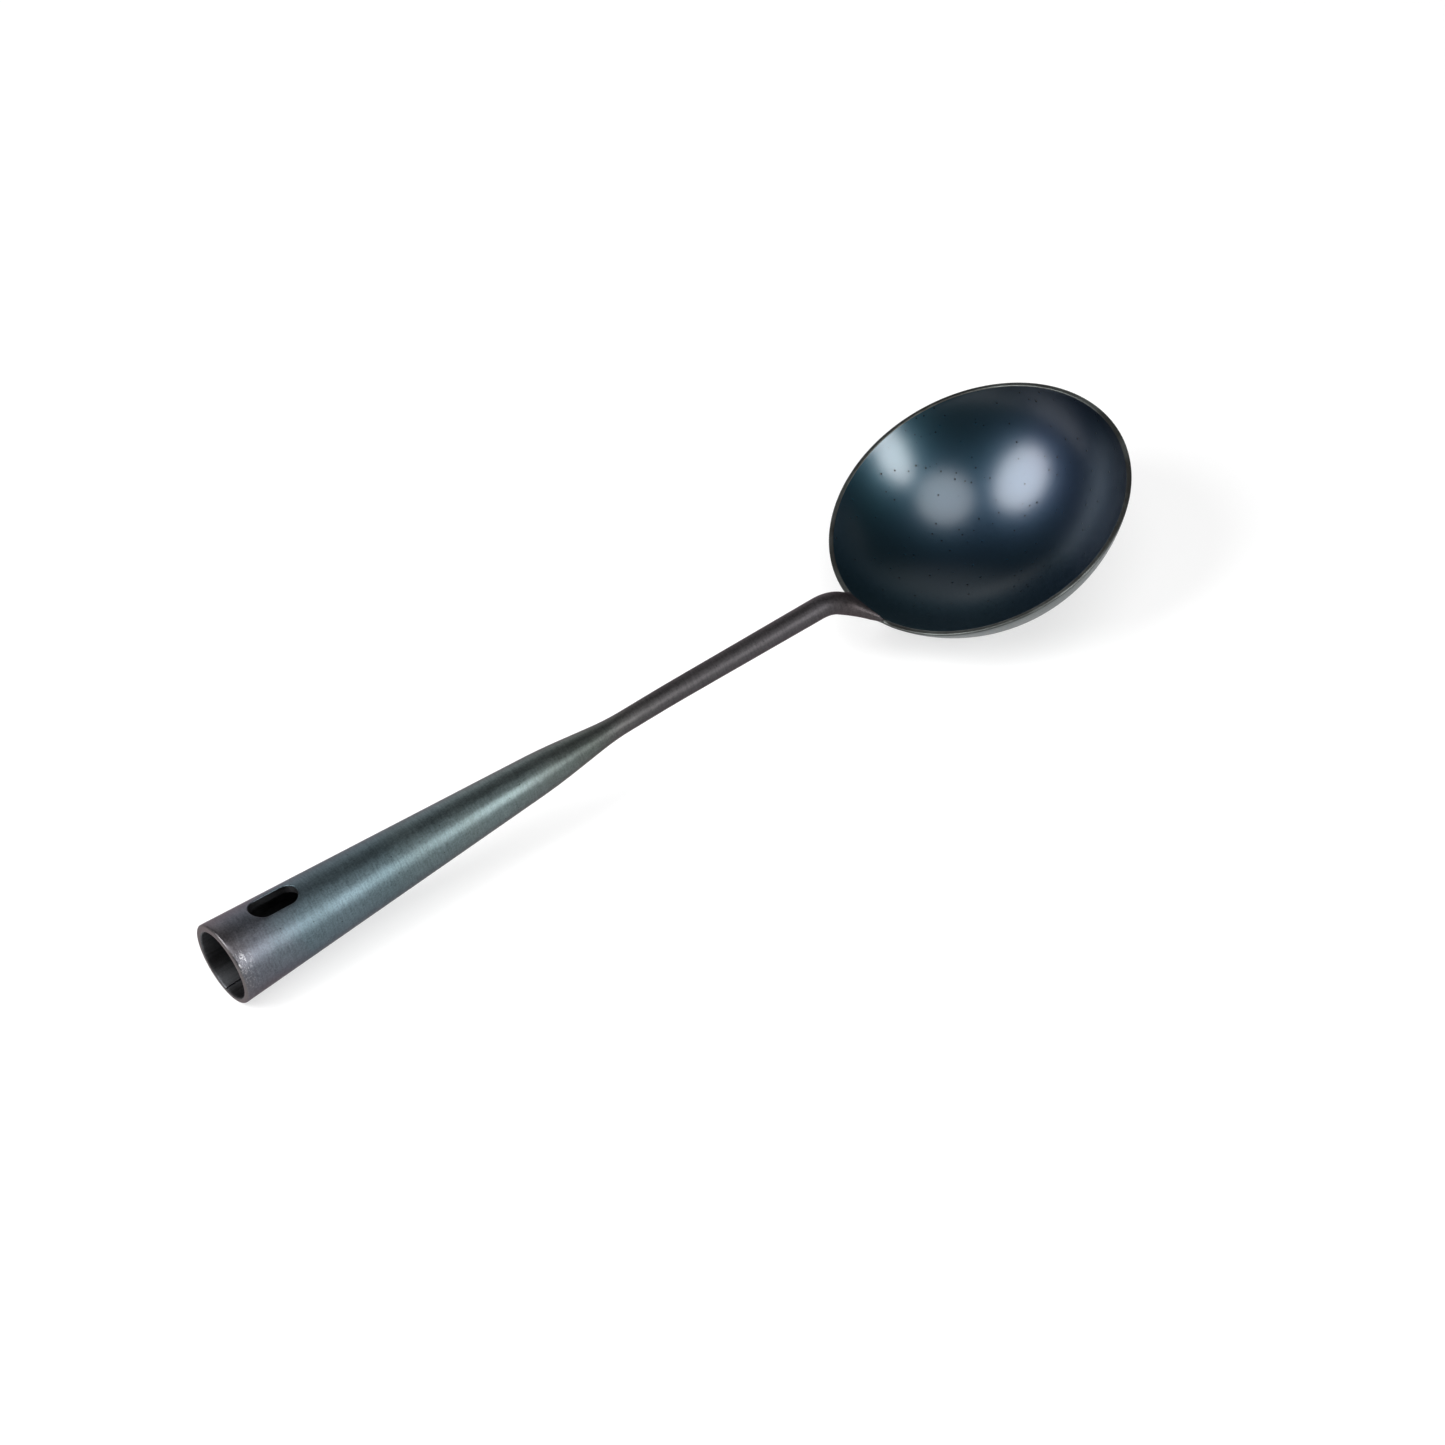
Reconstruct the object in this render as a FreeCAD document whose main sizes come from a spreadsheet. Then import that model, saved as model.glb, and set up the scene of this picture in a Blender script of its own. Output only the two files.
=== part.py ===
import FreeCAD, Part
import math
import os
import Sketcher

# A wok ladle, forged and rolled from one piece of steel: a round bowl, a bent neck, a thin rod
# and a hollow tapered handle with an oblong hanging slot near its open end.
# It is built round the centre of the bowl's rim: the rim lies in the XY plane, the handle
# runs towards -X and the XZ plane is its plane of symmetry. At the end it is laid down as it
# comes to rest, on the underside of the bowl and the lower edge of the handle's mouth.

# Driving dimensions in millimetres and degrees
SIZES = [
    ("rim_diameter", 116.5),        # over the outer edge of the rim
    ("bowl_depth", 36.0),           # rim plane to the underside
    ("bowl_wall", 1.8),
    ("lip_bevel", 0.4),             # both edges of the rim
    ("neck_rise", 4.0),             # centre line of the neck above the rim's outer edge
    ("neck_slope", 52.7),           # all slopes are measured from the rim plane
    ("neck_length", 15.1),          # rim edge to the corner of the bend
    ("neck_diameter", 8.3),
    ("bend_radius", 16.5),
    ("palm_width", 16.5),           # flattened root of the neck, where it crosses the rim
    ("palm_thickness", 6.2),
    ("palm_drop", 2.0),             # that section's distance past the rim edge
    ("tip_width", 28.0),            # end of the palm, buried in the bowl's wall
    ("tip_thickness", 3.0),
    ("tip_drop", 15.0),
    ("rod_slope", 16.6),
    ("rod_length", 72.5),           # corner of the bend to the slight set in the rod
    ("rod_diameter", 7.9),          # where the rod leaves the handle
    ("set_radius", 600.0),          # the slight set, where the rod turns into the handle's line
    ("handle_slope", 15.2),
    ("stem_length", 25.0),          # the set to the foot of the shoulder
    ("shoulder_length", 27.6),
    ("foot_radius", 100.0),
    ("knee_radius", 250.0),
    ("knee_diameter", 14.6),
    ("handle_length", 139.1),       # knee to the mouth
    ("mouth_diameter", 31.2),
    ("mouth_round", 0.8),
    ("handle_wall", 2.6),
    ("bore_drop", 0.5),             # the bore sits low, so the wall is thicker at the slot
    ("bore_tip", 18.0),             # length of the bore's pointed end, past the knee
    ("slot_inset", 15.0),           # mouth to the near end of the slot
    ("slot_length", 19.0),
    ("slot_width", 9.9),
    ("slot_bevel", 0.3),
    ("seam_width", 0.5),            # the butt seam along the underside of the rolled handle
    ("seam_depth", 0.4),
]

doc = FreeCAD.newDocument("wok_ladle")
sheet = doc.addObject("Spreadsheet::Sheet", "Sizes")
for row, (alias, value) in enumerate(SIZES, start=1):
    sheet.set(f"A{row}", alias)
    sheet.set(f"B{row}", str(value))
    sheet.setAlias(f"B{row}", alias)
doc.recompute()

# Expressions for the places that follow from the driving dimensions
RIM = "Sizes.rim_diameter / 2"
OUTER = "((Sizes.rim_diameter / 2)^2 + Sizes.bowl_depth^2) / (2 * Sizes.bowl_depth)"
INNER = f"({OUTER} - Sizes.bowl_wall)"
CENTRE = f"({OUTER} - Sizes.bowl_depth)"
SHOULDER = "atan((Sizes.knee_diameter - Sizes.rod_diameter) / 2 / Sizes.shoulder_length)"
FOOT_REACH = f"(Sizes.foot_radius * tan({SHOULDER} / 2))"
BEND_REACH = "(Sizes.bend_radius * tan((Sizes.neck_slope - Sizes.rod_slope) / 2))"
HANDLE_RUN = "(Sizes.stem_length + Sizes.shoulder_length + Sizes.handle_length)"


def out_from(start, slope, distance):
    """Expressions for a point at a distance from start, on a line that rises towards the handle."""
    return (f"({start[0]} - {distance} * cos(Sizes.{slope}))",
            f"({start[1]} + {distance} * sin(Sizes.{slope}))")


RIM_EDGE = (f"(-{RIM})", "Sizes.neck_rise")
CORNER = out_from(RIM_EDGE, "neck_slope", "Sizes.neck_length")
ROD_SET = out_from(CORNER, "rod_slope", "Sizes.rod_length")
MOUTH = out_from(ROD_SET, "handle_slope", HANDLE_RUN)


def size(alias):
    """A driving dimension as a plain number."""
    return float(sheet.get(alias))


def along(start, slope, distance):
    """The (x, z) point at a distance from start, on a line that rises towards the handle."""
    angle = math.radians(size(slope))
    return start[0] - distance * math.cos(angle), start[1] + distance * math.sin(angle)


# The same places as numbers, from the rim outwards
outer_radius = (size("rim_diameter") ** 2 / 4 + size("bowl_depth") ** 2) / (2 * size("bowl_depth"))
inner_radius = outer_radius - size("bowl_wall")
sphere_height = outer_radius - size("bowl_depth")
shoulder_slope = math.atan((size("knee_diameter") - size("rod_diameter")) / 2 / size("shoulder_length"))
foot_reach = size("foot_radius") * math.tan(shoulder_slope / 2)
bend_turn = math.radians(size("neck_slope") - size("rod_slope"))
bend_reach = size("bend_radius") * math.tan(bend_turn / 2)
rim_edge = (-size("rim_diameter") / 2, size("neck_rise"))
corner = along(rim_edge, "neck_slope", size("neck_length"))
rod_set = along(corner, "rod_slope", size("rod_length"))
rod_end = along(rod_set, "handle_slope", size("stem_length") - foot_reach)
handle_run = size("stem_length") + size("shoulder_length") + size("handle_length")
mouth = along(rod_set, "handle_slope", handle_run)

body = doc.addObject("PartDesign::Body", "wok_ladle")
body.Label = "wok_ladle"


def origin_plane(role):
    """One of the body's own origin planes."""
    return next(item for item in body.Origin.OriginFeatures if item.Role == role)


def new_sketch(name, role, offset=None):
    """A sketch on an origin plane, moved by offset."""
    sketch = body.newObject("Sketcher::SketchObject", name)
    sketch.AttachmentSupport = [(origin_plane(role), "")]
    sketch.MapMode = "FlatFace"
    if offset:
        sketch.AttachmentOffset = offset
    return sketch


def handle_sketch(name):
    """A sketch in the plane of symmetry, from the centre of the mouth along the handle."""
    base = FreeCAD.Vector(mouth[0], mouth[1], 0)
    turn = FreeCAD.Rotation(FreeCAD.Vector(0, 0, 1), -size("handle_slope"))
    sketch = new_sketch(name, "XZ_Plane", FreeCAD.Placement(base, turn))
    sketch.setExpression("AttachmentOffset.Base.x", MOUTH[0])
    sketch.setExpression("AttachmentOffset.Base.y", MOUTH[1])
    sketch.setExpression("AttachmentOffset.Rotation.Angle", "-Sizes.handle_slope")
    return sketch


def limit(sketch, expression, kind, *place):
    """A dimension in a sketch, bound to the sheet. The last item of place is its value."""
    index = sketch.addConstraint(Sketcher.Constraint(kind, *place))
    sketch.setExpression(f"Constraints[{index}]", expression)


def tie(sketch, kind, *place):
    """A geometric constraint in a sketch."""
    sketch.addConstraint(Sketcher.Constraint(kind, *place))


def line(sketch, start, end, construction=False):
    """A straight edge between two points of a sketch."""
    ends = [FreeCAD.Vector(x, y, 0) for x, y in (start, end)]
    return sketch.addGeometry(Part.LineSegment(*ends), construction)


def arc(sketch, centre, radius, start, end):
    """A round edge, anticlockwise from the direction of start to that of end."""
    angles = [math.atan2(y - centre[1], x - centre[0]) for x, y in (start, end)]
    if angles[1] < angles[0]:
        angles[1] += 2 * math.pi
    circle = Part.Circle(FreeCAD.Vector(*centre, 0), FreeCAD.Vector(0, 0, 1), radius)
    return sketch.addGeometry(Part.ArcOfCircle(circle, *angles))


def corner_arc(sketch, point, radius, first, second):
    """A round edge that replaces the corner at point, between directions to both neighbours."""
    ways = [FreeCAD.Vector(x - point[0], y - point[1], 0).normalize() for x, y in (first, second)]
    half = ways[0].getAngle(ways[1]) / 2
    reach = radius / math.tan(half)
    middle = (ways[0] + ways[1]).normalize() * (radius / math.sin(half))
    centre = (point[0] + middle.x, point[1] + middle.y)
    ends = [(point[0] + way.x * reach, point[1] + way.y * reach) for way in ways]
    if ways[0].cross(ways[1]).z > 0:
        ends.reverse()
    return arc(sketch, centre, radius, *ends), ends


def section(name, distance, slope, width, thickness):
    """A round or oval section of the neck, square to it, at a distance from the rim's edge."""
    centre = along(rim_edge, slope, distance[0])
    turn = FreeCAD.Rotation(FreeCAD.Vector(1, 0, 0), size(slope))
    offset = FreeCAD.Placement(FreeCAD.Vector(0, centre[1], centre[0]), turn)
    sketch = new_sketch(name, "YZ_Plane", offset)
    place = out_from(RIM_EDGE, slope, distance[1])
    sketch.setExpression("AttachmentOffset.Base.y", place[1])
    sketch.setExpression("AttachmentOffset.Base.z", place[0])
    sketch.setExpression("AttachmentOffset.Rotation.Angle", f"Sizes.{slope}")
    fill_section(sketch, width, thickness)
    return sketch


def fill_section(sketch, width, thickness):
    """A circle, or an ellipse that is wide across the plane of symmetry."""
    middle = FreeCAD.Vector(0, 0, 0)
    if width == thickness:
        sketch.addGeometry(Part.Circle(middle, FreeCAD.Vector(0, 0, 1), size(width) / 2))
        tie(sketch, "Coincident", 0, 3, -1, 1)
        limit(sketch, f"Sizes.{width} / 2", "Radius", 0, size(width) / 2)
        return
    sketch.addGeometry(Part.Ellipse(middle, size(width) / 2, size(thickness) / 2))
    sketch.exposeInternalGeometry(0)
    tie(sketch, "Coincident", 0, 3, -1, 1)
    tie(sketch, "Horizontal", 1)
    limit(sketch, f"Sizes.{width}", "Distance", 1, size(width))
    limit(sketch, f"Sizes.{thickness}", "Distance", 2, size(thickness))


def add_feature(kind, name, **settings):
    """A PartDesign feature with its properties, recomputed."""
    feature = body.newObject(f"PartDesign::{kind}", name)
    for key, value in settings.items():
        setattr(feature, key, value)
    doc.recompute()
    return feature


def add_bowl():
    """The outside of the bowl, a solid cap of a sphere with its rim's outer edge bevelled."""
    bevel = size("lip_bevel")
    bottom = (0, -size("bowl_depth"))
    low = (math.sqrt(outer_radius ** 2 - (sphere_height + bevel) ** 2), -bevel)
    high = (size("rim_diameter") / 2 - bevel, 0)
    sketch = new_sketch("bowl_outline", "XZ_Plane")
    wall = arc(sketch, (0, sphere_height), outer_radius, bottom, low)
    edge = line(sketch, low, high)
    top = line(sketch, high, (0, 0))
    axis = line(sketch, (0, 0), bottom)
    tie(sketch, "PointOnObject", wall, 3, -2)
    tie(sketch, "Coincident", wall, 2, edge, 1)
    tie(sketch, "Coincident", edge, 2, top, 1)
    tie(sketch, "Coincident", top, 2, -1, 1)
    tie(sketch, "Coincident", axis, 1, -1, 1)
    tie(sketch, "Coincident", axis, 2, wall, 1)
    tie(sketch, "Vertical", axis)
    tie(sketch, "Horizontal", top)
    limit(sketch, "Sizes.bowl_depth", "Distance", axis, size("bowl_depth"))
    limit(sketch, OUTER, "Radius", wall, outer_radius)
    limit(sketch, "Sizes.lip_bevel", "DistanceY", wall, 2, -1, 1, bevel)
    limit(sketch, f"{RIM} - Sizes.lip_bevel", "Distance", top, high[0])
    add_feature("Revolution", "bowl", Profile=sketch, ReferenceAxis=(sketch, ["V_Axis"]), Angle=360)


def hollow_bowl():
    """The inside of the bowl, carried on above the rim so that it trims the neck flush."""
    bevel = size("lip_bevel")
    bottom = (0, size("bowl_wall") - size("bowl_depth"))
    low = (math.sqrt(inner_radius ** 2 - (sphere_height + bevel) ** 2), -bevel)
    high = (math.sqrt(inner_radius ** 2 - sphere_height ** 2) + bevel, 0)
    trim = size("neck_length")
    wall_slope = math.acos(sphere_height / inner_radius)
    trim_x = high[0] + trim / math.tan(wall_slope)
    sketch = new_sketch("bowl_hollow", "XZ_Plane")
    wall = arc(sketch, (0, sphere_height), inner_radius, bottom, low)
    edge = line(sketch, low, high)
    flare = line(sketch, high, (trim_x, trim))
    top = line(sketch, (trim_x, trim), (0, trim))
    axis = line(sketch, (0, trim), bottom)
    tie(sketch, "PointOnObject", wall, 3, -2)
    tie(sketch, "PointOnObject", wall, 1, -2)
    tie(sketch, "Coincident", edge, 1, wall, 2)
    tie(sketch, "PointOnObject", edge, 2, -1)
    tie(sketch, "Coincident", flare, 1, edge, 2)
    tie(sketch, "Coincident", top, 1, flare, 2)
    tie(sketch, "Coincident", axis, 1, top, 2)
    tie(sketch, "Coincident", axis, 2, wall, 1)
    tie(sketch, "Horizontal", top)
    tie(sketch, "Vertical", axis)
    limit(sketch, INNER, "Radius", wall, inner_radius)
    limit(sketch, "Sizes.lip_bevel", "DistanceY", wall, 2, -1, 1, bevel)
    limit(sketch, f"sqrt({INNER}^2 - {CENTRE}^2) + Sizes.lip_bevel", "DistanceX", -1, 1, edge, 2, high[0])
    limit(sketch, CENTRE, "DistanceY", -1, 1, wall, 3, sphere_height)
    limit(sketch, "Sizes.neck_length", "DistanceY", -1, 1, axis, 1, trim)
    limit(sketch, f"acos({CENTRE} / {INNER})", "Angle", top, 2, flare, 1, wall_slope)
    add_feature("Groove", "bowl_inside", Profile=sketch, ReferenceAxis=(sketch, ["V_Axis"]), Angle=360)


def add_palm():
    """The root of the neck: round below the bend, then flattened and spread into the bowl's wall."""
    bend_end = size("neck_length") - bend_reach
    root = section("palm_top", (bend_end, f"(Sizes.neck_length - {BEND_REACH})"), "neck_slope",
                   "neck_diameter", "neck_diameter")
    palm = section("palm_middle", (-size("palm_drop"), "(-Sizes.palm_drop)"), "neck_slope",
                   "palm_width", "palm_thickness")
    tip = section("palm_tip", (-size("tip_drop"), "(-Sizes.tip_drop)"), "neck_slope",
                  "tip_width", "tip_thickness")
    add_feature("AdditiveLoft", "palm", Profile=root, Sections=[palm, tip])
    return root


def add_rod(neck_section):
    """The thin rod and its bend, swept from the handle's foot to the neck, a little thicker there."""
    turn = FreeCAD.Rotation(FreeCAD.Vector(1, 0, 0), size("handle_slope"))
    offset = FreeCAD.Placement(FreeCAD.Vector(0, rod_end[1], rod_end[0]), turn)
    start = new_sketch("rod_section", "YZ_Plane", offset)
    place = out_from(ROD_SET, "handle_slope", f"(Sizes.stem_length - {FOOT_REACH})")
    start.setExpression("AttachmentOffset.Base.y", place[1])
    start.setExpression("AttachmentOffset.Base.z", place[0])
    start.setExpression("AttachmentOffset.Rotation.Angle", "Sizes.handle_slope")
    fill_section(start, "rod_diameter", "rod_diameter")

    path = new_sketch("rod_path", "XZ_Plane")
    neck_top = along(rim_edge, "neck_slope", size("neck_length") - bend_reach)
    set_arc, set_ends = corner_arc(path, rod_set, size("set_radius"), rod_end, corner)
    bend_arc, bend_ends = corner_arc(path, corner, size("bend_radius"), rod_set, neck_top)
    set_ends.sort()
    bend_ends.sort()
    stem = line(path, rod_end, set_ends[0])
    rod = line(path, set_ends[1], bend_ends[0])
    neck = line(path, corner, neck_top, True)
    marks = [path.addGeometry(Part.Point(FreeCAD.Vector(*spot, 0)), True) for spot in (corner, rod_set)]
    tie(path, "Tangent", stem, 2, set_arc, 2)
    tie(path, "Tangent", set_arc, 1, rod, 1)
    tie(path, "Tangent", rod, 2, bend_arc, 2)
    tie(path, "Tangent", bend_arc, 1, neck, 2)
    tie(path, "Coincident", neck, 1, marks[0], 1)
    tie(path, "PointOnObject", marks[0], 1, rod)
    tie(path, "PointOnObject", marks[1], 1, rod)
    tie(path, "PointOnObject", marks[1], 1, stem)
    limit(path, f"-{CORNER[0]}", "DistanceX", marks[0], 1, -1, 1, -corner[0])
    limit(path, CORNER[1], "DistanceY", -1, 1, marks[0], 1, corner[1])
    limit(path, "Sizes.rod_length", "Distance", marks[0], 1, marks[1], 1, size("rod_length"))
    limit(path, f"Sizes.stem_length - {FOOT_REACH}", "Distance", marks[1], 1, stem, 1,
          size("stem_length") - foot_reach)
    limit(path, "Sizes.set_radius", "Radius", set_arc, size("set_radius"))
    limit(path, "Sizes.bend_radius", "Radius", bend_arc, size("bend_radius"))
    limit(path, "-Sizes.neck_slope", "Angle", neck, math.radians(-size("neck_slope")))
    limit(path, "-Sizes.rod_slope", "Angle", rod, math.radians(-size("rod_slope")))
    limit(path, "-Sizes.handle_slope", "Angle", stem, math.radians(-size("handle_slope")))
    add_feature("AdditivePipe", "rod", Profile=start, Spine=path, Sections=[neck_section],
                Transformation="Multisection")


def add_handle():
    """The outside of the handle: a long cone, a steeper shoulder and a foot that meets the rod."""
    knee = (size("handle_length"), size("knee_diameter") / 2)
    foot = (size("handle_length") + size("shoulder_length"), size("rod_diameter") / 2)
    end = (foot[0] + foot_reach, foot[1])
    top = (0, size("mouth_diameter") / 2)
    sketch = handle_sketch("handle_outline")
    knee_arc, knee_ends = corner_arc(sketch, knee, size("knee_radius"), top, foot)
    foot_arc, foot_ends = corner_arc(sketch, foot, size("foot_radius"), knee, end)
    knee_ends.sort()
    foot_ends.sort()
    face = line(sketch, (0, 0), top)
    cone = line(sketch, top, knee_ends[0])
    shoulder = line(sketch, knee_ends[1], foot_ends[0])
    close = line(sketch, foot_ends[1], (end[0], 0))
    axis = line(sketch, (end[0], 0), (0, 0))
    marks = [sketch.addGeometry(Part.Point(FreeCAD.Vector(*spot, 0)), True) for spot in (knee, foot)]
    tie(sketch, "Coincident", face, 1, -1, 1)
    tie(sketch, "Vertical", face)
    tie(sketch, "Coincident", face, 2, cone, 1)
    tie(sketch, "Tangent", cone, 2, knee_arc, 2)
    tie(sketch, "Tangent", knee_arc, 1, shoulder, 1)
    tie(sketch, "Tangent", shoulder, 2, foot_arc, 1)
    tie(sketch, "Coincident", foot_arc, 2, close, 1)
    tie(sketch, "Vertical", foot_arc, 3, foot_arc, 2)
    tie(sketch, "Vertical", close)
    tie(sketch, "Coincident", close, 2, axis, 1)
    tie(sketch, "Coincident", axis, 2, face, 1)
    tie(sketch, "Horizontal", axis)
    tie(sketch, "PointOnObject", marks[0], 1, cone)
    tie(sketch, "PointOnObject", marks[0], 1, shoulder)
    tie(sketch, "PointOnObject", marks[1], 1, shoulder)
    limit(sketch, "Sizes.mouth_diameter / 2", "Distance", face, top[1])
    limit(sketch, "Sizes.handle_length", "DistanceX", -1, 1, marks[0], 1, knee[0])
    limit(sketch, "Sizes.knee_diameter / 2", "DistanceY", -1, 1, marks[0], 1, knee[1])
    limit(sketch, "Sizes.handle_length + Sizes.shoulder_length", "DistanceX", -1, 1, marks[1], 1, foot[0])
    limit(sketch, "Sizes.rod_diameter / 2", "DistanceY", -1, 1, marks[1], 1, foot[1])
    limit(sketch, "Sizes.rod_diameter / 2", "Distance", close, foot[1])
    limit(sketch, "Sizes.knee_radius", "Radius", knee_arc, size("knee_radius"))
    limit(sketch, "Sizes.foot_radius", "Radius", foot_arc, size("foot_radius"))
    add_feature("Revolution", "handle", Profile=sketch, ReferenceAxis=(sketch, ["H_Axis"]), Angle=360)


def hollow_handle():
    """The tapered bore, open at the mouth and closed by a point inside the shoulder."""
    wall = size("handle_wall")
    drop = size("bore_drop")
    start = (0, size("mouth_diameter") / 2 - wall - drop)
    narrow = (size("handle_length"), size("knee_diameter") / 2 - wall - drop)
    tip = (size("handle_length") + size("bore_tip"), -drop)
    sketch = handle_sketch("bore_outline")
    face = line(sketch, (0, -drop), start)
    cone = line(sketch, start, narrow)
    point = line(sketch, narrow, tip)
    axis = line(sketch, tip, (0, -drop))
    for first, second in ((face, cone), (cone, point), (point, axis), (axis, face)):
        tie(sketch, "Coincident", first, 2, second, 1)
    tie(sketch, "PointOnObject", face, 1, -2)
    tie(sketch, "Vertical", face)
    tie(sketch, "Horizontal", axis)
    limit(sketch, "Sizes.bore_drop", "DistanceY", face, 1, -1, 1, drop)
    limit(sketch, "Sizes.mouth_diameter / 2 - Sizes.handle_wall", "Distance", face, start[1] + drop)
    limit(sketch, "Sizes.handle_length", "DistanceX", -1, 1, cone, 2, narrow[0])
    limit(sketch, "Sizes.knee_diameter / 2 - Sizes.handle_wall", "DistanceY", axis, 1, cone, 2,
          narrow[1] + drop)
    limit(sketch, "Sizes.handle_length + Sizes.bore_tip", "DistanceX", -1, 1, axis, 1, tip[0])
    add_feature("Groove", "bore", Profile=sketch, ReferenceAxis=(sketch, [f"Edge{axis + 1}"]), Angle=360)


def cut_slot():
    """The oblong hanging slot, through the top wall of the handle only."""
    turn = FreeCAD.Rotation(FreeCAD.Vector(0, 1, 0), size("handle_slope"))
    sketch = new_sketch("slot_outline", "XY_Plane",
                        FreeCAD.Placement(FreeCAD.Vector(mouth[0], 0, mouth[1]), turn))
    sketch.setExpression("AttachmentOffset.Base.x", MOUTH[0])
    sketch.setExpression("AttachmentOffset.Base.z", MOUTH[1])
    sketch.setExpression("AttachmentOffset.Rotation.Angle", "Sizes.handle_slope")
    radius = size("slot_width") / 2
    near = size("slot_inset") + radius
    far = size("slot_inset") + size("slot_length") - radius
    near_end = arc(sketch, (near, 0), radius, (near, radius), (near, -radius))
    far_end = arc(sketch, (far, 0), radius, (far, -radius), (far, radius))
    left = line(sketch, (near, -radius), (far, -radius))
    right = line(sketch, (far, radius), (near, radius))
    tie(sketch, "Tangent", near_end, 2, left, 1)
    tie(sketch, "Tangent", left, 2, far_end, 1)
    tie(sketch, "Tangent", far_end, 2, right, 1)
    tie(sketch, "Tangent", right, 2, near_end, 1)
    tie(sketch, "PointOnObject", near_end, 3, -1)
    tie(sketch, "PointOnObject", far_end, 3, -1)
    tie(sketch, "Equal", near_end, far_end)
    limit(sketch, "Sizes.slot_width / 2", "Radius", near_end, radius)
    limit(sketch, "Sizes.slot_inset + Sizes.slot_width / 2", "DistanceX", -1, 1, near_end, 3, near)
    limit(sketch, "Sizes.slot_length - Sizes.slot_width", "DistanceX", near_end, 3, far_end, 3, far - near)
    pocket = add_feature("Pocket", "hanging_slot", Profile=sketch, Reversed=True)
    pocket.setExpression("Length", "Sizes.mouth_diameter")
    doc.recompute()


def cut_seam(name, shift, into):
    """One side of the butt seam that runs under the rolled handle, in its plane of symmetry."""
    depth = size("seam_depth") * into
    slack = -into * size("handle_wall") / 2
    low = [(0, shift[0] - size("mouth_diameter") / 2),
           (size("handle_length"), shift[0] - size("knee_diameter") / 2)]
    sketch = handle_sketch(f"{name}_outline")
    corners = [(low[0][0], low[0][1] + depth), (low[1][0], low[1][1] + depth),
               (low[1][0], low[1][1] + slack), (low[0][0], low[0][1] + slack)]
    edges = [line(sketch, corners[turn], corners[(turn + 1) % 4]) for turn in range(4)]
    for turn in range(4):
        tie(sketch, "Coincident", edges[turn], 2, edges[(turn + 1) % 4], 1)
    tie(sketch, "Vertical", edges[1])
    tie(sketch, "Vertical", edges[3])
    tie(sketch, "PointOnObject", edges[0], 1, -2)
    limit(sketch, "Sizes.handle_length", "DistanceX", edges[0], 1, edges[0], 2, size("handle_length"))
    signed = f"{into} * Sizes.seam_depth"
    spare = f"{-into} * Sizes.handle_wall / 2"
    for edge, end, radius in ((0, 1, "mouth"), (0, 2, "knee")):
        rise = -(corners[end - 1][1])
        limit(sketch, f"Sizes.{radius}_diameter / 2 - ({shift[1]}) - ({signed})", "DistanceY",
              edges[edge], end, -1, 1, rise)
    limit(sketch, f"Sizes.knee_diameter / 2 - ({shift[1]}) - ({spare})", "DistanceY",
          edges[2], 1, -1, 1, -corners[2][1])
    limit(sketch, f"Sizes.mouth_diameter / 2 - ({shift[1]}) - ({spare})", "DistanceY",
          edges[2], 2, -1, 1, -corners[3][1])
    pocket = add_feature("Pocket", name, Profile=sketch, SideType="Symmetric")
    pocket.setExpression("Length", "Sizes.seam_width")
    doc.recompute()


def handle_place(point):
    """A point's distance from the mouth, its height over the handle's axis and its radius there."""
    angle = math.radians(size("handle_slope"))
    x, z = point.x - mouth[0], point.z - mouth[1]
    run = x * math.cos(angle) - z * math.sin(angle)
    rise = x * math.sin(angle) + z * math.cos(angle)
    return run, rise, math.hypot(rise, point.y)


def edges_where(test):
    """The names of the edges of the body so far whose points all pass a test."""
    names = []
    for index, edge in enumerate(body.Tip.Shape.Edges, start=1):
        if edge.Degenerated:
            continue
        if all(test(*handle_place(point)) for point in edge.discretize(7)):
            names.append(f"Edge{index}")
    return names


def is_mouth_edge(run, rise, radius):
    """Whether a point lies in the plane of the mouth."""
    return abs(run) < 0.01


def is_slot_edge(run, rise, radius):
    """Whether a point lies where the slot opens in the handle's outside."""
    cone = (size("mouth_diameter") - size("knee_diameter")) / 2 / size("handle_length")
    surface = size("mouth_diameter") / 2 - run * cone
    in_slot = size("slot_inset") / 2 < run < size("slot_inset") * 1.5 + size("slot_length")
    return in_slot and rise > 0 and abs(radius - surface) < 0.02


def ease_edges(kind, name, test, value, alias):
    """A fillet or a chamfer on the edges of the body so far that pass a test."""
    base = (body.Tip, edges_where(test))
    eased = body.newObject(f"PartDesign::{kind}", name)
    eased.Base = base
    eased.setExpression(value, f"Sizes.{alias}")
    doc.recompute()


def rest_tilt():
    """The turn about Y that brings the bowl's underside and the mouth's lower edge level."""
    round_off = size("mouth_round")
    angle = math.radians(size("handle_slope"))
    drop = size("mouth_diameter") / 2 - round_off
    edge_x = mouth[0] + round_off * math.cos(angle) - drop * math.sin(angle)
    edge_z = mouth[1] - round_off * math.sin(angle) - drop * math.cos(angle) - sphere_height
    span = math.hypot(edge_x, edge_z)
    return math.acos(-(outer_radius - round_off) / span) + math.atan2(edge_x, edge_z)


def lay_down():
    """Places the ladle as it rests, with the bottom of its box at the origin."""
    tilt = rest_tilt()
    turn = FreeCAD.Rotation(FreeCAD.Vector(0, 1, 0), -math.degrees(tilt))
    height = outer_radius - sphere_height * math.cos(tilt)
    body.Placement = FreeCAD.Placement(FreeCAD.Vector(0, 0, height), turn)
    box = body.Shape.optimalBoundingBox(False)
    body.Placement = FreeCAD.Placement(FreeCAD.Vector(-box.Center.x, 0, height), turn)


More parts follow.
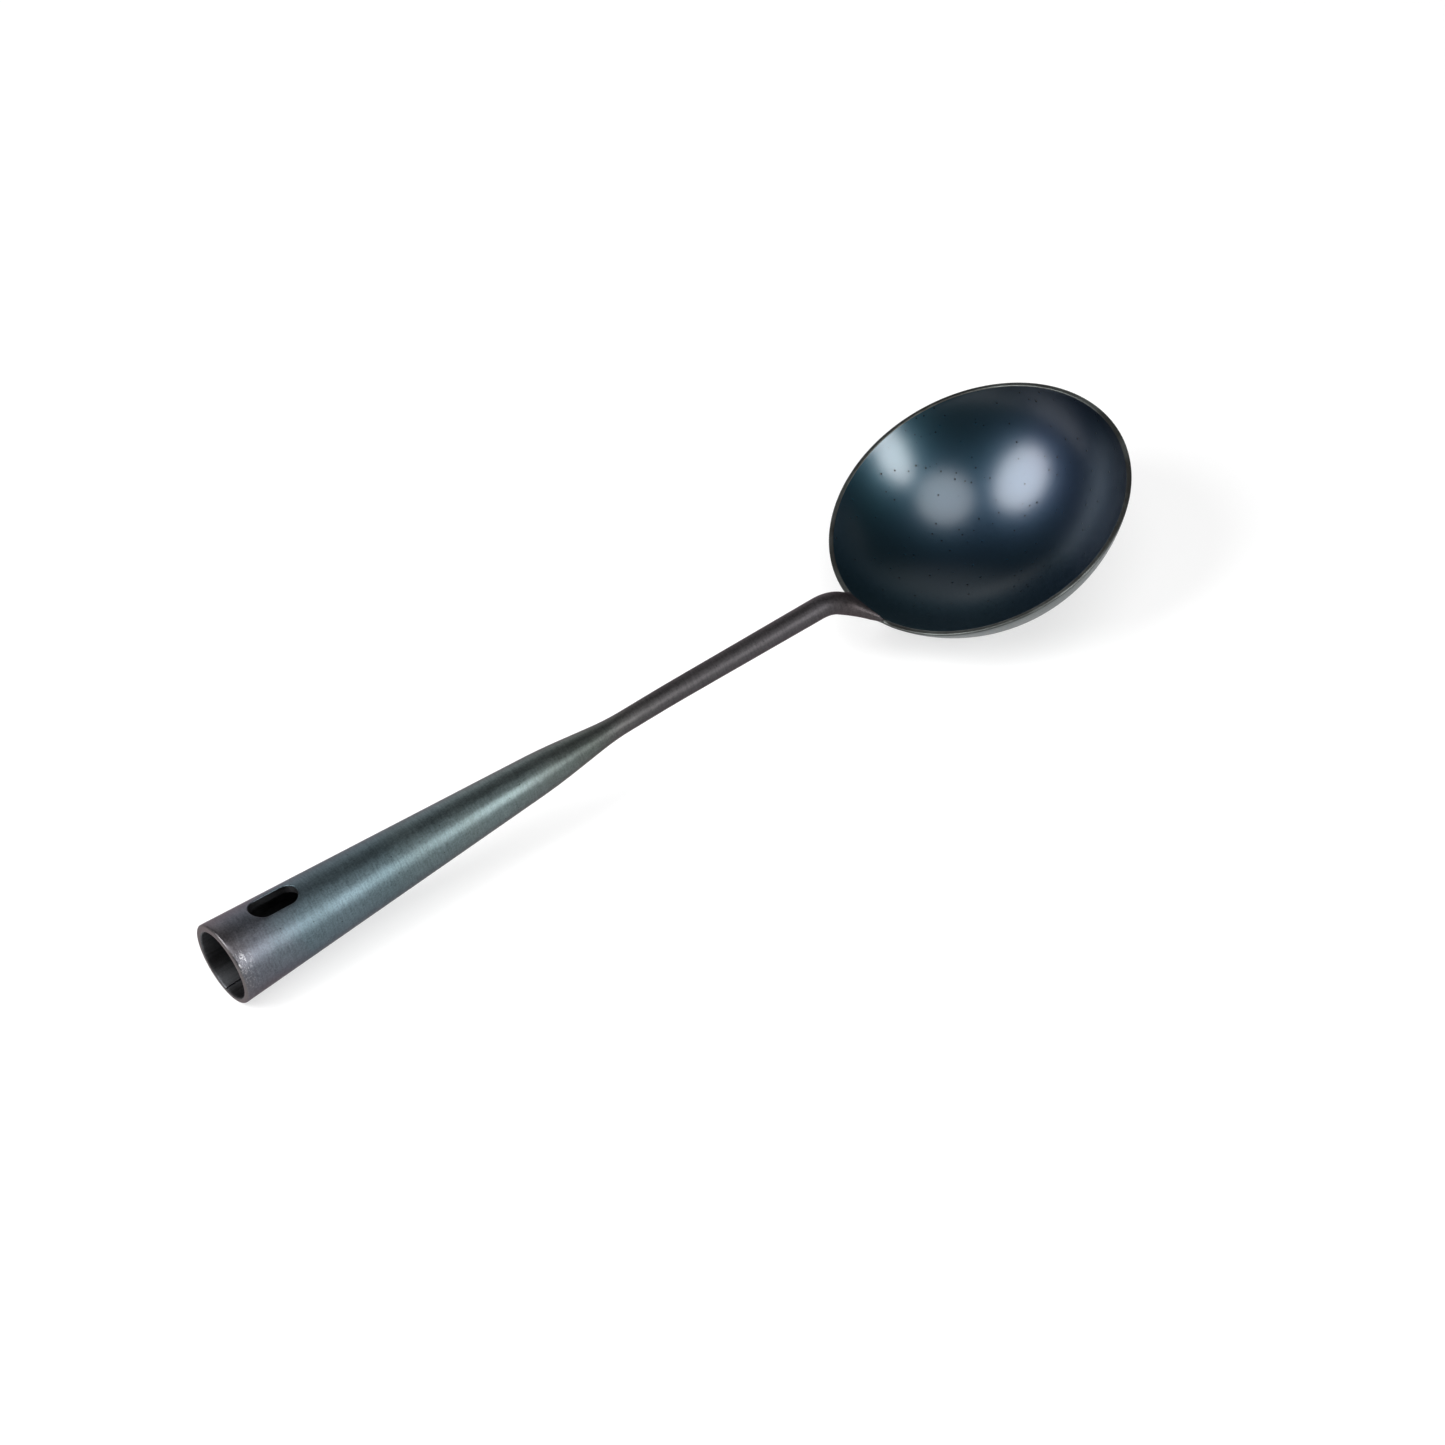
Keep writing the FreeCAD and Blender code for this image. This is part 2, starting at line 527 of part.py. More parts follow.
def check_model():
    """Stops if any object failed or the ladle is not one sound solid."""
    for item in doc.Objects:
        if "Invalid" in item.State or "Error" in item.State:
            raise RuntimeError(f"{item.Label} failed: {item.State}")
    shape = body.Shape
    if shape.isNull() or not shape.isValid() or len(shape.Solids) != 1:
        raise RuntimeError(f"{body.Label} is not one sound solid")


add_bowl()
neck_section = add_palm()
add_rod(neck_section)
add_handle()
hollow_bowl()
hollow_handle()
cut_slot()
ease_edges("Fillet", "mouth_edges", is_mouth_edge, "Radius", "mouth_round")
ease_edges("Chamfer", "slot_edges", is_slot_edge, "Size", "slot_bevel")
bore_shift = size("handle_wall") - size("bore_drop")
cut_seam("seam_inside", (bore_shift, "Sizes.handle_wall - Sizes.bore_drop"), -1)
cut_seam("seam_outside", (0, "0"), 1)
doc.recompute()
lay_down()
check_model()

os.makedirs("parts", exist_ok=True)
body.Shape.exportStep(f"parts/{body.Label}.step")
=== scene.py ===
import bmesh
import bpy
import math
from mathutils import Matrix, Vector


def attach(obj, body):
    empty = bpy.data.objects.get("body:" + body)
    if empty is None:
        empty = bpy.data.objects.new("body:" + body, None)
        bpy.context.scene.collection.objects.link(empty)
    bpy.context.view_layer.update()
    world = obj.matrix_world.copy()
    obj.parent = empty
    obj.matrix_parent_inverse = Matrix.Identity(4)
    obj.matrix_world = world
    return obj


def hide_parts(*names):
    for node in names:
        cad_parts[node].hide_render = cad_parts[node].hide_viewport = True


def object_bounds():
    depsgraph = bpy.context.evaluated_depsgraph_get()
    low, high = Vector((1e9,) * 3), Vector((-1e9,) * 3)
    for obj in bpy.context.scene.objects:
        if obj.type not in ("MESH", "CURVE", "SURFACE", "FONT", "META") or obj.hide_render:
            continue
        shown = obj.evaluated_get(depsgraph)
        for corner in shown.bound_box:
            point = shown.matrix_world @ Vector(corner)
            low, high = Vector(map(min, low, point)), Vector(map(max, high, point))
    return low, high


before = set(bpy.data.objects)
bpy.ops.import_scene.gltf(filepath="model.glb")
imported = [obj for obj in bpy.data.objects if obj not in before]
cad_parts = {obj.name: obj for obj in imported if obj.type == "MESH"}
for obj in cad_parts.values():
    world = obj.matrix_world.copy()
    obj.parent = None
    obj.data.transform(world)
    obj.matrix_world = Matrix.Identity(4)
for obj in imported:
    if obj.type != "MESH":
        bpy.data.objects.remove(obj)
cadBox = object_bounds()
scene = bpy.context.scene
mm = 0.001
weld = {"profile": 0.002 * mm, "solid": 0.004 * mm}   # points closer than this become one
sharpTurn = math.radians(38)   # edges that turn more than this are shaded sharp
straightTurn = 1e-9            # stretches of a line that turn less than this count as straight
print("frame loaded", [[round(value, 4) for value in corner] for corner in cadBox])

# The ladle is modelled as the smith sees it: the rim flat, with its centre at the origin, and the handle
# rising towards -X. At the end it is laid down as it rests, and its box meets the CAD's box.

bowl = {
    "rimRadius": 58.25 * mm, "depth": 36.0 * mm, "wall": 1.8 * mm, "lipRound": 0.55 * mm,
    "turns": 288,          # steps round the bowl
    "wallSteps": 56,       # steps from the bottom to the lip
    "lipSteps": 6,
}
handle = {
    "slope": math.radians(15.2), "mouthRadius": 15.6 * mm, "kneeRadius": 7.3 * mm, "rodRadius": 3.95 * mm,
    "length": 139.1 * mm,  # mouth to knee
    "shoulder": 27.6 * mm, "stem": 25.0 * mm,
    "kneeRound": 250 * mm, "footRound": 100 * mm,
    "wall": 2.6 * mm, "mouthRound": 0.8 * mm, "boreDrop": 0.5 * mm,
    "boreTip": 18 * mm, "tipRadius": 0.2 * mm,   # the bore's blind end
    "around": 128,         # segments of every ring of the handle and the rod
    "tipSteps": 4, "boreSteps": 23, "edgeSteps": 6,
    "footReach": 10 * mm,  # past the foot the rod's own sizes take over
}
ringStep = {               # distances between the rings of the outside: close together in the neck
    "first": 2.4 * mm, "long": 2.2 * mm, "short": 0.6 * mm, "shortBefore": 2 * mm,
}
rod = {"slope": math.radians(16.6), "length": 72.5 * mm, "setRound": 600 * mm}
neck = {
    "slope": math.radians(52.7), "rise": 4.0 * mm, "length": 15.1 * mm, "radius": 4.15 * mm,
    "bendRound": 16.5 * mm,
    "spreadBefore": 1.0 * mm, "flare": 1.55,   # where and how fast the rod starts to spread into the palm
    "palmWidth": 19.5 * mm, "palmThickness": 6.6 * mm, "palmDrop": 2.0 * mm,
    "tipWidth": 31.0 * mm, "tipThickness": 3.0 * mm, "tipDrop": 15 * mm,
    "dressSlope": math.radians(80),   # how steeply the root's top is dressed down to the rim
    "trim": 0.25 * mm,     # the root ends this far behind the bowl's inside
}
rootSoftening = {          # forging leaves no crease where the palm runs into the bowl
    "crease": -0.2,        # edges that fold in by more than this, in radians
    "nearestX": -44 * mm, "lowestZ": -14 * mm, "creaseReach": 24 * mm,
    "reach": 26 * mm, "blend": 2.4 * mm, "factor": 0.5, "rounds": 22,
}
slot = {
    "inset": 15.0 * mm, "length": 19.0 * mm, "width": 9.9 * mm, "round": 0.5 * mm,
    "below": 9 * mm, "above": 4 * mm,   # how far its cutter passes the handle's skin
    "straightTo": 1.6, "flareTo": 1.25,   # in roundings: the straight stretch below and the flare above
    "around": 96, "edgeSteps": 5,
}
seam = {
    "width": 0.35 * mm, "depth": 0.4 * mm, "overlap": 2 * mm,
    "innerWidth": 0.8 * mm, "innerTurn": math.radians(9),   # turned to where the mouth shows it
}

outerRadius = (bowl["rimRadius"] ** 2 + bowl["depth"] ** 2) / (2 * bowl["depth"])
innerRadius = outerRadius - bowl["wall"]
sphereHeight = outerRadius - bowl["depth"]
handleCone = (handle["kneeRadius"] - handle["mouthRadius"]) / handle["length"]


def stepBack(start, slope, distance):
    # the place at a distance from start, on a line that rises towards the handle's end
    return Vector((start.x - distance * math.cos(slope), 0, start.z + distance * math.sin(slope)))


rimEdge = Vector((-bowl["rimRadius"], 0, neck["rise"]))
bendCorner = stepBack(rimEdge, neck["slope"], neck["length"])
rodSet = stepBack(bendCorner, rod["slope"], rod["length"])
handleRun = handle["stem"] + handle["shoulder"] + handle["length"]
mouth = stepBack(rodSet, handle["slope"], handleRun)
bendReach = neck["bendRound"] * math.tan((neck["slope"] - rod["slope"]) / 2)
setReach = rod["setRound"] * math.tan((rod["slope"] - handle["slope"]) / 2)


# Bowl: the profile of its wall is drawn with turned points and then spun round the upright axis.

def turnPoint(mesh, point, centre, angle, steps):
    # draws an arc in the plane of symmetry and gives its last point
    made = bmesh.ops.spin(mesh, geom=[point], cent=centre, axis=(0, 1, 0), angle=angle, steps=steps)
    return next(item for item in made["geom_last"] if isinstance(item, bmesh.types.BMVert))


def drawTo(mesh, point, place):
    # draws a straight edge
    made = bmesh.ops.extrude_vert_indiv(mesh, verts=[point])["verts"][0]
    made.co = place
    return made


def spinRound(mesh, steps):
    # turns everything drawn so far into a closed solid of revolution
    bmesh.ops.spin(mesh, geom=mesh.verts[:] + mesh.edges[:], cent=(0, 0, 0), axis=(0, 0, 1),
                   angle=math.tau, steps=steps, use_merge=True)
    bmesh.ops.remove_doubles(mesh, verts=mesh.verts[:], dist=weld["profile"])
    bmesh.ops.recalc_face_normals(mesh, faces=mesh.faces[:])


def bowlShell():
    mesh = bmesh.new()
    centre = (0, 0, sphereHeight)
    lip = bowl["lipRound"]
    innerLip = math.sqrt((innerRadius + lip) ** 2 - (sphereHeight + lip) ** 2)
    outerLip = math.sqrt((outerRadius - lip) ** 2 - (sphereHeight + lip) ** 2)
    innerTurn = math.atan2(innerLip, sphereHeight + lip)
    outerTurn = math.atan2(outerLip, sphereHeight + lip)
    point = mesh.verts.new((0, 0, bowl["wall"] - bowl["depth"]))
    point = turnPoint(mesh, point, centre, -innerTurn, bowl["wallSteps"])
    point = turnPoint(mesh, point, (innerLip, 0, -lip), innerTurn, bowl["lipSteps"])
    point = drawTo(mesh, point, (outerLip, 0, 0))
    point = turnPoint(mesh, point, (outerLip, 0, -lip), math.pi - outerTurn, bowl["lipSteps"] * 2)
    turnPoint(mesh, point, centre, outerTurn, bowl["wallSteps"])
    spinRound(mesh, bowl["turns"])
    return mesh


def bowlTrimmer():
    # the bowl's hollow, carried on upwards: it trims the neck to just behind the bowl's inside
    mesh = bmesh.new()
    radius = innerRadius + neck["trim"]
    wallTurn = math.acos(sphereHeight / radius)
    reach = neck["length"]
    point = mesh.verts.new((0, 0, sphereHeight - radius))
    point = turnPoint(mesh, point, (0, 0, sphereHeight), -wallTurn, bowl["wallSteps"])
    point = drawTo(mesh, point, point.co + Vector((reach / math.tan(neck["dressSlope"]), 0, reach)))
    drawTo(mesh, point, (0, 0, reach))
    spinRound(mesh, bowl["turns"])
    return mesh


# Handle, rod and neck: one ring, drawn out along the bore, round the mouth and back along a bent line.

def ringPlace(place, slope, rise, halfThick, halfWidth):
    # stands a unit circle square to the line at a place, its first axis in the plane of symmetry
    ahead = Vector((math.cos(slope), 0, -math.sin(slope)))
    above = Vector((math.sin(slope), 0, math.cos(slope)))
    centre = place + above * rise
    turn = Matrix((above, (0, -1, 0), ahead)).transposed().to_4x4()
    return Matrix.Translation(centre) @ turn @ Matrix.Diagonal((halfThick, halfWidth, 1, 1))


def drawOut(mesh, places, around):
    # a closed solid: a capped ring that is extruded from place to place
    bmesh.ops.create_circle(mesh, cap_ends=True, segments=around, radius=1, matrix=places[0])
    ring = mesh.edges[:]
    for previous, place in zip(places, places[1:]):
        made = bmesh.ops.extrude_edge_only(mesh, edges=ring)["geom"]
        ring = [item for item in made if isinstance(item, bmesh.types.BMEdge)]
        verts = [item for item in made if isinstance(item, bmesh.types.BMVert)]
        bmesh.ops.transform(mesh, matrix=place @ previous.inverted(), verts=verts)
    bmesh.ops.edgeloop_fill(mesh, edges=ring)
    bmesh.ops.recalc_face_normals(mesh, faces=mesh.faces[:])


def roundedCorner(value, distance, corner, turn, radius):
    # adds to a straight line's value the soft change of slope that starts at a corner
    reach = radius * abs(turn) / 2
    past = distance - corner
    if past <= -reach:
        return value
    if past >= reach:
        return value + turn * past
    return value + turn * (past + reach) ** 2 / (4 * reach)


def handleRadius(run):
    # the outside of the handle and the rod at a distance from the mouth
    shoulder = (handle["rodRadius"] - handle["kneeRadius"]) / handle["shoulder"]
    radius = handle["mouthRadius"] + handleCone * run
    radius = roundedCorner(radius, run, handle["length"], shoulder - handleCone, handle["kneeRound"])
    foot = handle["length"] + handle["shoulder"]
    return roundedCorner(radius, run, foot, -shoulder, handle["footRound"])


def boreRadius(run):
    return handle["mouthRadius"] - handle["wall"] + handleCone * run


def smoothStep(share):
    share = min(max(share, 0), 1)
    return share * share * (3 - 2 * share)


def boreRings():
    # from the bore's blind tip out to the flat ring of the mouth
    rings = []
    drop = -handle["boreDrop"]
    end = handle["length"]
    narrow = boreRadius(end)
    for step in range(handle["tipSteps"], 0, -1):
        share = step / handle["tipSteps"]
        radius = max(narrow * (1 - share), handle["tipRadius"])
        rings.append((end + handle["boreTip"] * share, drop, radius))
    edge = handle["mouthRound"]
    for step in range(handle["boreSteps"] + 1):
        run = end + (2 * edge - end) * step / handle["boreSteps"]
        rings.append((run, drop, boreRadius(run)))
    for step in range(handle["edgeSteps"] + 1):
        angle = math.pi / 2 * step / handle["edgeSteps"]
        rings.append((edge * (1 - math.sin(angle)), drop,
                      boreRadius(0) + edge * (1 - math.cos(angle))))
    return rings


def mouthRings():
    # the outer edge of the mouth, rounded back onto the cone
    edge = handle["mouthRound"]
    rings = []
    for step in range(handle["edgeSteps"] + 1):
        angle = math.pi / 2 * step / handle["edgeSteps"]
        rings.append((edge * (1 - math.cos(angle)), 0, handleRadius(edge) - edge * (1 - math.sin(angle))))
    return rings


def lineLegs():
    # lengths and end slopes of the straight and bent stretches, from the mouth to the palm's tip
    return [
        (handleRun - setReach, handle["slope"]),
        (rod["setRound"] * (rod["slope"] - handle["slope"]), rod["slope"]),
        (rod["length"] - setReach - bendReach, rod["slope"]),
        (neck["bendRound"] * (neck["slope"] - rod["slope"]), neck["slope"]),
        (neck["length"] - bendReach + neck["tipDrop"], neck["slope"]),
    ]


def linePlace(distance):
    # the place and slope of the line at a distance from the mouth
    place, slope = mouth.copy(), handle["slope"]
    for length, endSlope in lineLegs():
        part = min(distance, length)
        turn = (endSlope - slope) * part / length
        chord = part if abs(turn) < straightTurn else 2 * part / turn * math.sin(turn / 2)
        middle = slope + turn / 2
        place += Vector((math.cos(middle), 0, -math.sin(middle))) * chord
        slope += turn
        distance -= part
        if distance <= 0:
            break
    return place, slope


def neckSize(distance):
    # half thickness and half width of the rod and the neck
    legs = [length for length, endSlope in lineLegs()]
    rodStart, bendEnd = legs[0], sum(legs[:4])
    rimAt = bendEnd + neck["length"] - bendReach
    radius = handle["rodRadius"]
    radius += (neck["radius"] - radius) * smoothStep((distance - rodStart) / (bendEnd - rodStart))
    start = bendEnd - neck["spreadBefore"]
    palm = rimAt + neck["palmDrop"]
    tip = rimAt + neck["tipDrop"]
    if distance < start:
        return radius, radius
    if distance < palm:
        share = (distance - start) / (palm - start)
        flare = share * share * (neck["flare"] - (neck["flare"] - 1) * share)
        return (radius + (neck["palmThickness"] / 2 - radius) * smoothStep(share),
                radius + (neck["palmWidth"] / 2 - radius) * flare)
    share = (distance - palm) / (tip - palm)
    return (neck["palmThickness"] / 2 + (neck["tipThickness"] - neck["palmThickness"]) / 2 * share,
            neck["palmWidth"] / 2 + (neck["tipWidth"] - neck["palmWidth"]) / 2 * share)


def stations():
    # distances from the mouth at which the outside gets a ring
    total = sum(length for length, endSlope in lineLegs())
    shortFrom = sum(length for length, endSlope in lineLegs()[:3]) - ringStep["shortBefore"]
    distance, places = ringStep["first"], []
    while distance < total:
        places.append(distance)
        distance += ringStep["short"] if distance > shortFrom else ringStep["long"]
    return places + [total]


def handleSolid():
    places = []
    for run, rise, radius in boreRings() + mouthRings():
        place = stepBack(mouth, handle["slope"], -run)
        places.append(ringPlace(place, handle["slope"], rise, radius, radius))
    swellEnd = handle["length"] + handle["shoulder"] + handle["footReach"]
    for distance in stations():
        place, slope = linePlace(distance)
        if distance < swellEnd:
            halfThick = halfWidth = handleRadius(distance)
        else:
            halfThick, halfWidth = neckSize(distance)
        places.append(ringPlace(place, slope, 0, halfThick, halfWidth))
    mesh = bmesh.new()
    drawOut(mesh, places, handle["around"])
    return mesh


def slotCutter():
    # an oblong plug whose sides lean out where they pass the handle's skin, which rounds the slot's edge
    mesh = bmesh.new()
    middle = slot["inset"] + slot["length"] / 2
    half = slot["width"] / 2
    straight = (slot["length"] - slot["width"]) / 2
    soft, flareTo = slot["round"], slot["flareTo"]
    levels = [(0, -slot["below"]), (0, -soft * slot["straightTo"])]
    for step in range(slot["edgeSteps"] + 1):
        angle = math.pi / 2 * step / slot["edgeSteps"]
        levels.append((soft * (1 - math.cos(angle)), soft * (math.sin(angle) - 1)))
    levels += [(soft * flareTo, soft * (flareTo - 1)), (soft * flareTo, slot["above"])]
    halfStep = Matrix.Rotation(math.pi / slot["around"], 4, "Z")
    ring = None
    for widening, height in levels:
        made = bmesh.ops.create_circle(mesh, segments=slot["around"], radius=half + widening,
                                       matrix=halfStep)["verts"]
        for vert in made:
            vert.co.x += math.copysign(straight, vert.co.x)
            skin = handleRadius(middle + vert.co.x)
            vert.co.z = math.sqrt(skin ** 2 - vert.co.y ** 2) + height
        edges = list(dict.fromkeys(edge for vert in made for edge in vert.link_edges))
        if ring:
            bmesh.ops.bridge_loops(mesh, edges=ring + edges)
        else:
            bmesh.ops.edgeloop_fill(mesh, edges=edges)
        ring = edges
    bmesh.ops.edgeloop_fill(mesh, edges=ring)
    bmesh.ops.recalc_face_normals(mesh, faces=mesh.faces[:])
    onHandle = Matrix.Translation(stepBack(mouth, handle["slope"], -middle))
    onHandle = onHandle @ Matrix.Rotation(handle["slope"], 4, "Y")
    bmesh.ops.transform(mesh, matrix=onHandle, verts=mesh.verts[:])
    return mesh


def seamCutter(low, lean, width, turnRound=0):
    # a thin bar along the underside, between the mouth and the knee
    mesh = bmesh.new()
    length = handle["length"] + seam["overlap"]
    middle = Matrix.Translation((length / 2 - seam["overlap"], 0, 0))
    size = Matrix.Diagonal((length, width, seam["depth"] * 2, 1))
    bmesh.ops.create_cube(mesh, size=1, matrix=middle @ size)
    turn = Matrix.Rotation(handle["slope"] - lean, 4, "Y")
    start = mouth + Vector((math.sin(handle["slope"]), 0, math.cos(handle["slope"]))) * low
    ahead = Vector((math.cos(handle["slope"]), 0, -math.sin(handle["slope"])))
    bmesh.ops.transform(mesh, matrix=Matrix.Translation(start) @ turn, verts=mesh.verts[:])
    bmesh.ops.rotate(mesh, cent=mouth, matrix=Matrix.Rotation(turnRound, 3, ahead), verts=mesh.verts[:])
    return mesh


def asObject(name, mesh):
    data = bpy.data.meshes.new(name)
    mesh.to_mesh(data)
    mesh.free()
    made = bpy.data.objects.new(name, data)
    scene.collection.objects.link(made)
    return made


def combine(target, tool, operation):
    # a boolean between two closed meshes, applied at once
    change = target.modifiers.new(operation.lower(), "BOOLEAN")
    change.operation = operation
    change.solver = "EXACT"
    change.object = tool
    result = bpy.data.meshes.new_from_object(target.evaluated_get(bpy.context.evaluated_depsgraph_get()))
    target.modifiers.clear()
    target.data = result
    bpy.data.objects.remove(tool)
    print("combined", operation, len(result.polygons))


ladle = asObject("ladle", handleSolid())
print("handle, rod and neck", len(ladle.data.polygons))
combine(ladle, asObject("trimmer", bowlTrimmer()), "DIFFERENCE")
combine(ladle, asObject("slotCutter", slotCutter()), "DIFFERENCE")
skinLean = math.atan(-handleCone)
boreLow = -(boreRadius(0) + handle["boreDrop"])
outerSeam = seamCutter(-handle["mouthRadius"], skinLean, seam["width"])
combine(ladle, asObject("outerSeam", outerSeam), "DIFFERENCE")
innerSeam = seamCutter(boreLow, skinLean, seam["innerWidth"], seam["innerTurn"])
combine(ladle, asObject("innerSeam", innerSeam), "DIFFERENCE")
combine(ladle, asObject("bowlShell", bowlShell()), "UNION")


def isRootCrease(edge):
    place = edge.verts[0].co
    return (place.x < rootSoftening["nearestX"] and place.z > rootSoftening["lowestZ"]
            and (place - rimEdge).length < rootSoftening["creaseReach"]
            and edge.is_manifold and edge.calc_face_angle_signed() < rootSoftening["crease"])


def softenRoot(mesh):
    creases = [edge for edge in mesh.edges if isRootCrease(edge)]
    places = [vert.co.copy() for edge in creases for vert in edge.verts]
    near = [vert for vert in mesh.verts if (vert.co - rimEdge).length < rootSoftening["reach"]
            and any((vert.co - place).length < rootSoftening["blend"] for place in places)]
    for turn in range(rootSoftening["rounds"]):
        bmesh.ops.smooth_vert(mesh, verts=near, factor=rootSoftening["factor"],
                              use_axis_x=True, use_axis_y=True, use_axis_z=True)
    print("root softened", len(creases), len(near))


def restPlace():
    # laid down on the bowl's underside and the lower edge of the mouth
    soft = handle["mouthRound"]
    drop = handle["mouthRadius"] - soft
    edge = mouth + Vector((soft * math.cos(handle["slope"]) - drop * math.sin(handle["slope"]), 0,
                           -soft * math.sin(handle["slope"]) - drop * math.cos(handle["slope"])))
    edge.z -= sphereHeight
    tilt = math.acos(-(outerRadius - soft) / edge.length) + math.atan2(edge.x, edge.z)
    return tilt, outerRadius - sphereHeight * math.cos(tilt)


def finishMesh(target):
    # welds, softens and lays the ladle down, and gives the matrix that laid it down
    mesh = bmesh.new()
    mesh.from_mesh(target.data)
    bmesh.ops.remove_doubles(mesh, verts=mesh.verts[:], dist=weld["solid"])
    softenRoot(mesh)
    tilt, height = restPlace()
    lay = Matrix.Translation((0, 0, height)) @ Matrix.Rotation(-tilt, 4, "Y")
    bmesh.ops.transform(mesh, matrix=lay, verts=mesh.verts[:])
    shift = Vector((cadBox[0][0] - min(vert.co.x for vert in mesh.verts), 0,
                    cadBox[0][2] - min(vert.co.z for vert in mesh.verts)))
    bmesh.ops.translate(mesh, vec=shift, verts=mesh.verts[:])
    lay = Matrix.Translation(shift) @ lay
    for face in mesh.faces:
        face.smooth = True
    for edge in mesh.edges:
        if not edge.is_manifold or edge.calc_face_angle() > sharpTurn:
            edge.smooth = False
    mesh.to_mesh(target.data)
    mesh.free()
    return lay


lay = finishMesh(ladle)
print("ladle laid down", len(ladle.data.polygons), len(ladle.data.vertices))


# Materials of tempered steel.

noiseSpan = (0.3, 0.7)     # most of a noise's values lie between these
nodeStep = 220             # nodes stand in a row, in the order in which they are made


def link(tree, start, end):
    tree.links.new(start, end)


def addNode(tree, kind, **values):
    made = tree.nodes.new(kind)
    made.location = (nodeStep * len(tree.nodes), 0)
    for name, value in values.items():
        setattr(made, name, value)
    return made


def steelMaterial(name):
    made = bpy.data.materials.new(name)
    made.use_nodes = True
    tree = made.node_tree
    shader = tree.nodes["Principled BSDF"]
    shader.inputs["Metallic"].default_value = 1
    return made, tree, shader


def objectPlace(tree, matrix):
    # object coordinates seen from a place on the ladle, given as the matrix that carries its axes there
    coordinate = addNode(tree, "ShaderNodeTexCoord")
    mapping = addNode(tree, "ShaderNodeMapping")
    inverse = matrix.inverted()
    mapping.inputs["Location"].default_value = inverse.to_translation()
    mapping.inputs["Rotation"].default_value = inverse.to_euler()
    link(tree, coordinate.outputs["Object"], mapping.inputs["Vector"])
    return mapping.outputs["Vector"]


def splitAxes(tree, vector):
    made = addNode(tree, "ShaderNodeSeparateXYZ")
    link(tree, vector, made.inputs[0])
    return made.outputs


def placeGrain(tree, vector, values):
    made = addNode(tree, "ShaderNodeGroup", node_tree=grainGroup)
    link(tree, vector, made.inputs["Vector"])
    for name, value in values.items():
        made.inputs[name].default_value = value
    return made.outputs


def mapValue(tree, value, low, high, toLow, toHigh):
    made = addNode(tree, "ShaderNodeMapRange", clamp=True)
    for name, number in (("From Min", low), ("From Max", high), ("To Min", toLow), ("To Max", toHigh)):
        made.inputs[name].default_value = number
    link(tree, value, made.inputs["Value"])
    return made.outputs["Result"]


def spread(tree, noise, toLow, toHigh):
    return mapValue(tree, noise, *noiseSpan, toLow, toHigh)


def pick(tree, noise, low, high):
    # a mask that is 0 below low and 1 above high
    return mapValue(tree, noise, low, high, 0, 1)


def math2(tree, operation, first, second):
    made = addNode(tree, "ShaderNodeMath", operation=operation)
    for index, value in enumerate((first, second)):
        if isinstance(value, (int, float)):
            made.inputs[index].default_value = value
        else:
            link(tree, value, made.inputs[index])
    return made.outputs[0]


def mixColour(tree, factor, first, second, blend="MIX"):
    # sockets 0, 6 and 7 are the factor and the two colours, and output 2 is their mix
    made = addNode(tree, "ShaderNodeMix", data_type="RGBA", blend_type=blend)
    for index, value in ((0, factor), (6, first), (7, second)):
        if isinstance(value, (int, float)):
            made.inputs[index].default_value = value
        elif isinstance(value, tuple):
            made.inputs[index].default_value = (*value, 1)
        else:
            link(tree, value, made.inputs[index])
    return made.outputs[2]


def colourRamp(tree, value, stops):
    made = addNode(tree, "ShaderNodeValToRGB")
    ramp = made.color_ramp
    for index, (spot, colour) in enumerate(stops):
        stop = ramp.elements[index] if index < 2 else ramp.elements.new(spot)
        stop.position = spot
        stop.color = (*colour, 1)
    link(tree, value, made.inputs["Fac"])
    return made.outputs["Color"]


def closeTo(tree, vector, spot, inner, outer, value):
    # a value near a spot that fades to nothing at the outer distance
    reach = addNode(tree, "ShaderNodeVectorMath", operation="DISTANCE")
    link(tree, vector, reach.inputs[0])
    reach.inputs[1].default_value = spot
    return mapValue(tree, reach.outputs["Value"], inner, outer, value, 0)


def addBump(tree, shader, height, strength, distance):
    made = addNode(tree, "ShaderNodeBump")
    made.inputs["Strength"].default_value = strength
    made.inputs["Distance"].default_value = distance
    link(tree, height, made.inputs["Height"])
    link(tree, made.outputs["Normal"], shader.inputs["Normal"])


grainSettings = {
    "inputs": [
        ("Vector", "NodeSocketVector", (0, 0, 0)), ("Speckle Scale", "NodeSocketFloat", 900),
        ("Cloud Scale", "NodeSocketFloat", 30), ("Pit Scale", "NodeSocketFloat", 300),
        ("Pit Size", "NodeSocketFloat", 0.06), ("Brush Scale", "NodeSocketFloat", 1200),
        ("Brush Turn", "NodeSocketVector", (0, 0, 0)),
        ("Brush Stretch", "NodeSocketVector", (1, 0.12, 0.12))],
    "outputs": ("Speckle", "Cloud", "Pits", "Brush"),
    "speckleDetail": 3, "speckleRoughness": 0.65, "cloudDetail": 4, "brushDetail": 2,
    "pitFloor": 0.5,       # the share of a pit's radius that is at full depth
    "pitChance": (0.5, 0.6),   # cells whose random value is below have no pit
}


